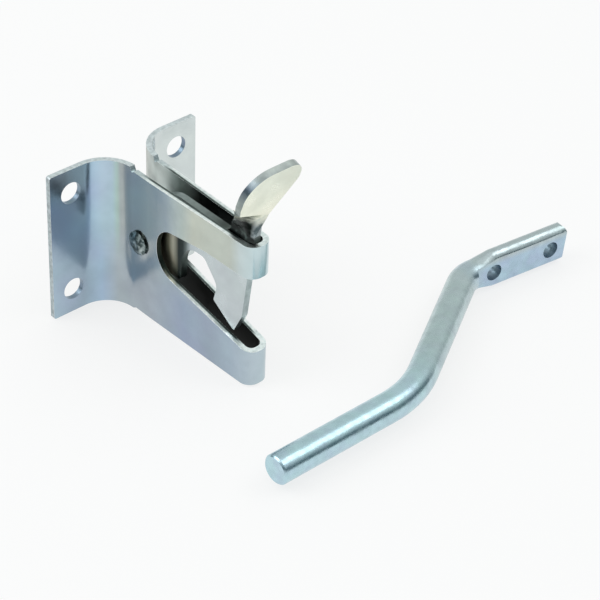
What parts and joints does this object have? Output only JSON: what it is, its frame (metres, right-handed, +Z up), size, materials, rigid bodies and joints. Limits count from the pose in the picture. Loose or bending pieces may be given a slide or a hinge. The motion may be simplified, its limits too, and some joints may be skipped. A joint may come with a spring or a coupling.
{
  "type": "gate latch",
  "caption": "Gravity gate latch: folded strip catch with a pivoting thumb pawl on a peened rivet, and the cranked striker bar that drops into its mouth.",
  "frame": {"origin": "middle of the four screw holes, on the back face that lies against the gate post", "axes": "+Z up, X along the post face, the catch nose points to -Y, +Y into the post"},
  "size_m": [0.1404, 0.1041, 0.0767],
  "materials": {
    "zinc_strip": "bright blue-passivated zinc plating on pressed steel strip",
    "rivet_steel": "zinc plated rivet with a hammered head",
    "zinc_pawl": "bright zinc plating on stamped steel plate",
    "zinc_bar": "satin zinc plating on drawn and forged steel bar"
  },
  "bodies": {
    "catch": {"catch_body": "zinc_strip", "pivot_rivet": "rivet_steel", "striker_bar": "zinc_bar"},
    "pawl": {"pawl": "zinc_pawl"}
  },
  "joints": [
    {"name": "pawl_pivot", "type": "hinge", "parent": "catch", "child": "pawl", "pos_m": [0, -0.0148, 0.0005], "axis": [-1, 0, 0], "range_deg": [0, 55]}
  ]
}
